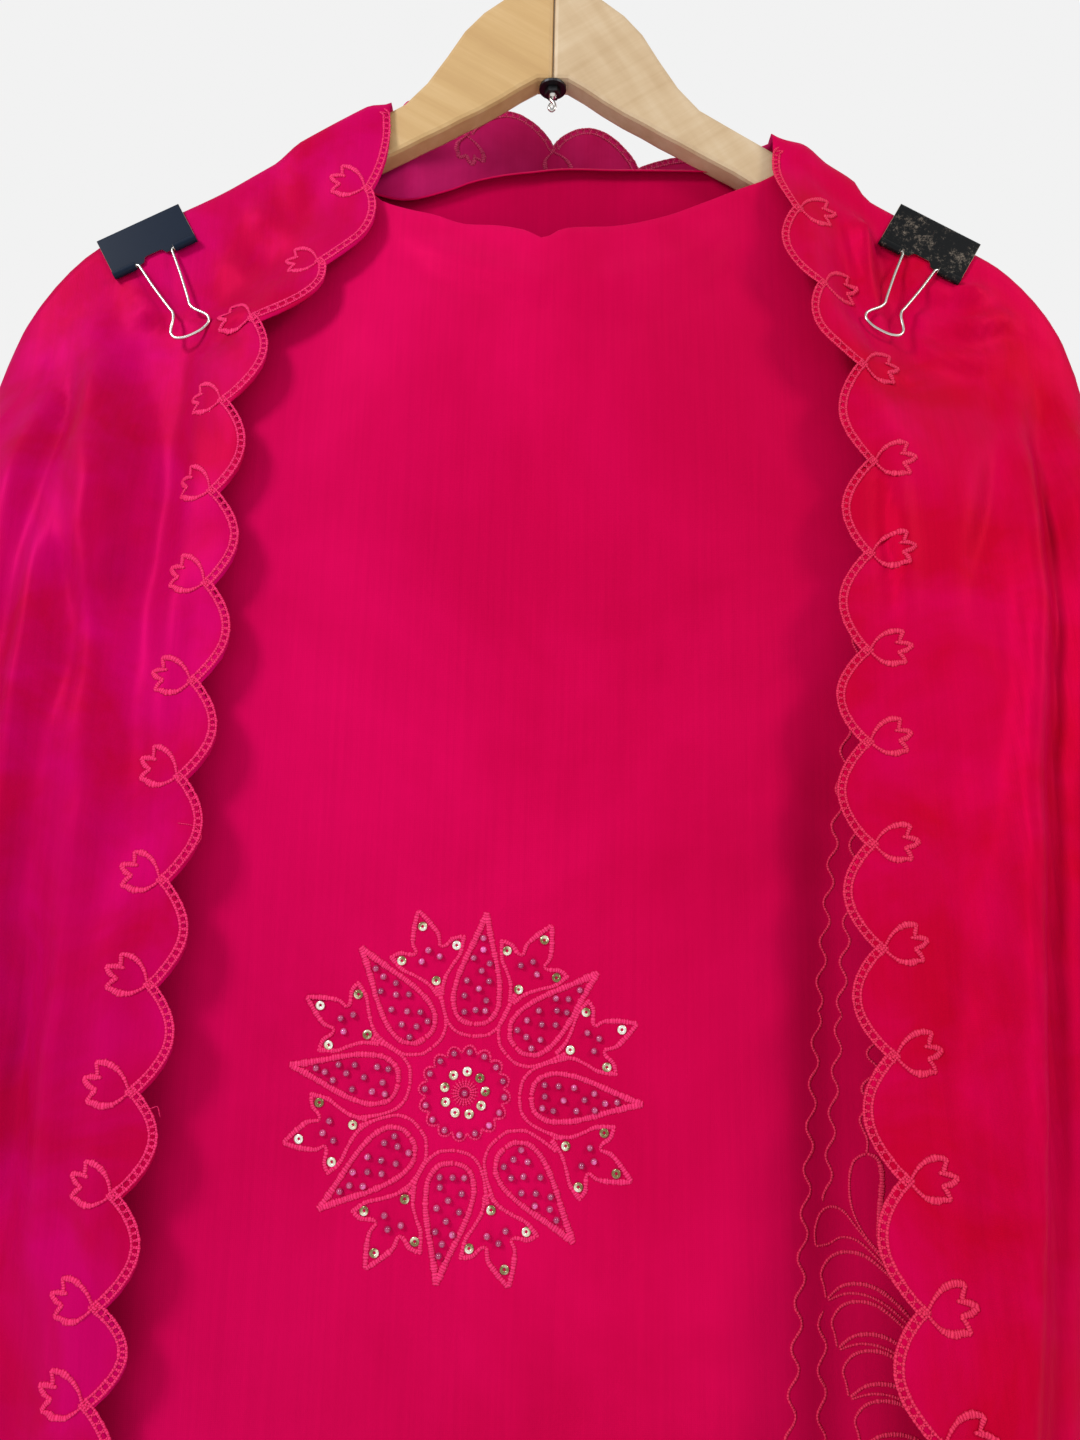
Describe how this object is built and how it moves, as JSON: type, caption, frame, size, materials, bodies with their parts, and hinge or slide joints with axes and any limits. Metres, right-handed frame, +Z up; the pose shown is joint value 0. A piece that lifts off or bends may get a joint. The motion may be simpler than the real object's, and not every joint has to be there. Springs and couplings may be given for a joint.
{
  "type": "dupatta stole on wooden hanger",
  "caption": "Pink embroidered dupatta stole draped over a flat wooden hanger and held on its arms by binder clips with folding wire handles.",
  "frame": {"origin": "inner top of the hanger's hook, where the rail it hangs on touches it", "axes": "+Z up, the front with the medallion faces -Y, +X to the right seen from the front"},
  "size_m": [0.5082, 0.1238, 1.1296],
  "materials": {
    "front_stretch": "fine plain-weave silk-cotton, soft sheen",
    "inner_back_stretch": "fine plain-weave silk-cotton, soft sheen",
    "fall_left": "fine plain-weave silk-cotton, soft sheen",
    "fall_right": "fine plain-weave silk-cotton, soft sheen",
    "back_stretch": "fine plain-weave silk-cotton, soft sheen",
    "arm_left": "pale lacquered wood, satin",
    "arm_right": "pale lacquered wood, satin",
    "hook": "bright plated wire",
    "washer": "black, semi-matt",
    "nut": "black, semi-matt",
    "clip_left": "black, semi-gloss",
    "clip_right": "black, worn",
    "handle_left_front": "bright plated spring wire",
    "handle_left_back": "bright plated spring wire",
    "handle_right_front": "bright plated spring wire",
    "handle_right_back": "bright plated spring wire"
  },
  "bodies": {
    "stole_on_hanger": {"arm_left": "arm_left", "arm_right": "arm_right", "hook": "hook", "washer": "washer", "nut": "nut", "front_stretch": "front_stretch", "inner_back_stretch": "inner_back_stretch", "fall_left": "fall_left", "fall_right": "fall_right", "back_stretch": "back_stretch", "clip_left": "clip_left", "clip_right": "clip_right"},
    "handle_left_front": {"handle_left_front": "handle_left_front"},
    "handle_left_back": {"handle_left_back": "handle_left_back"},
    "handle_right_front": {"handle_right_front": "handle_right_front"},
    "handle_right_back": {"handle_right_back": "handle_right_back"}
  },
  "joints": [
    {"name": "handle_left_front_hinge", "type": "hinge", "parent": "stole_on_hanger", "child": "handle_left_front", "pos_m": [-0.17922, -0.01105, -0.22978], "axis": [-0.8742, 0, -0.4856], "range_deg": [0, 150]},
    {"name": "handle_left_back_hinge", "type": "hinge", "parent": "stole_on_hanger", "child": "handle_left_back", "pos_m": [-0.17922, 0.01105, -0.22978], "axis": [0.8742, 0, 0.4856], "range_deg": [0, 150]},
    {"name": "handle_right_front_hinge", "type": "hinge", "parent": "stole_on_hanger", "child": "handle_right_front", "pos_m": [0.16872, -0.01105, -0.22395], "axis": [-0.8742, 0, 0.4856], "range_deg": [0, 150]},
    {"name": "handle_right_back_hinge", "type": "hinge", "parent": "stole_on_hanger", "child": "handle_right_back", "pos_m": [0.16872, 0.01105, -0.22395], "axis": [0.8742, 0, -0.4856], "range_deg": [0, 150]}
  ]
}
